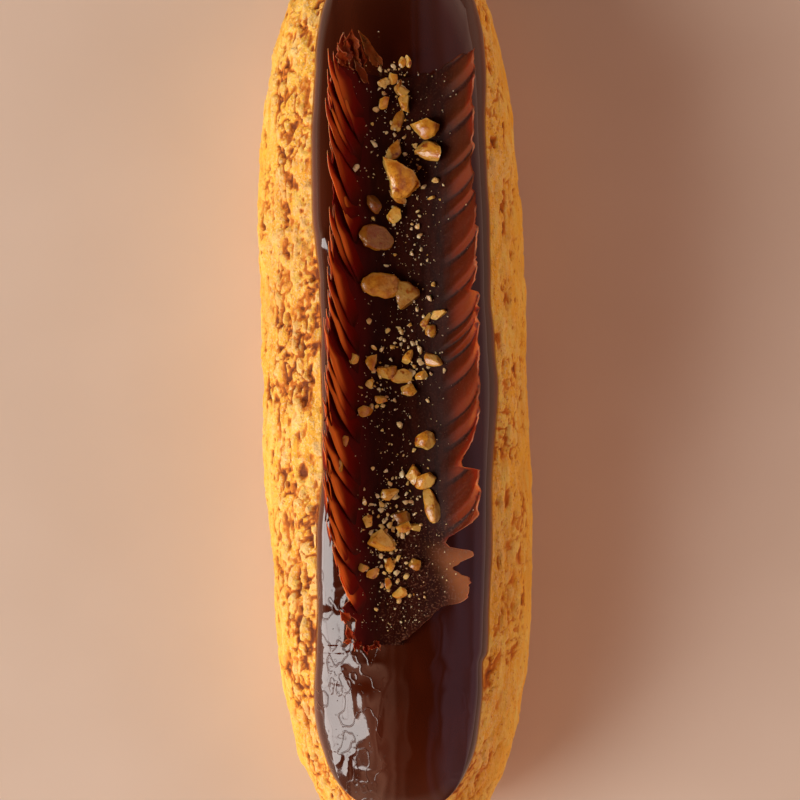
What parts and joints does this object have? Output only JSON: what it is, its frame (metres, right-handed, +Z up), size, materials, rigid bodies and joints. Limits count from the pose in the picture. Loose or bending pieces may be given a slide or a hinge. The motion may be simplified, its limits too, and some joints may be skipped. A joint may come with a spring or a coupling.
{
  "type": "chocolate eclair",
  "caption": "Long baked choux bun with a crackled crust, a glossy chocolate glaze and a pleated chocolate curl whose trough holds chopped nuts.",
  "frame": {"origin": "middle of the flat base that the eclair rests on", "axes": "+Z up out of the base, +Y along the eclair towards the end where the curl starts, +X across it"},
  "size_m": [0.0448, 0.15, 0.0426],
  "materials": {
    "choux_crust": "dry, crackled, golden brown baked crust",
    "dark_glaze": "wet-looking, mirror-gloss dark chocolate glaze",
    "shaved_chocolate": "satin, thin, slightly see-through shaved chocolate",
    "roasted_nuts": "chopped, roasted, dry"
  },
  "bodies": {
    "root": {"choux_bun": "choux_crust", "chocolate_glaze": "dark_glaze", "chocolate_curl": "shaved_chocolate"}
  },
  "joints": []
}
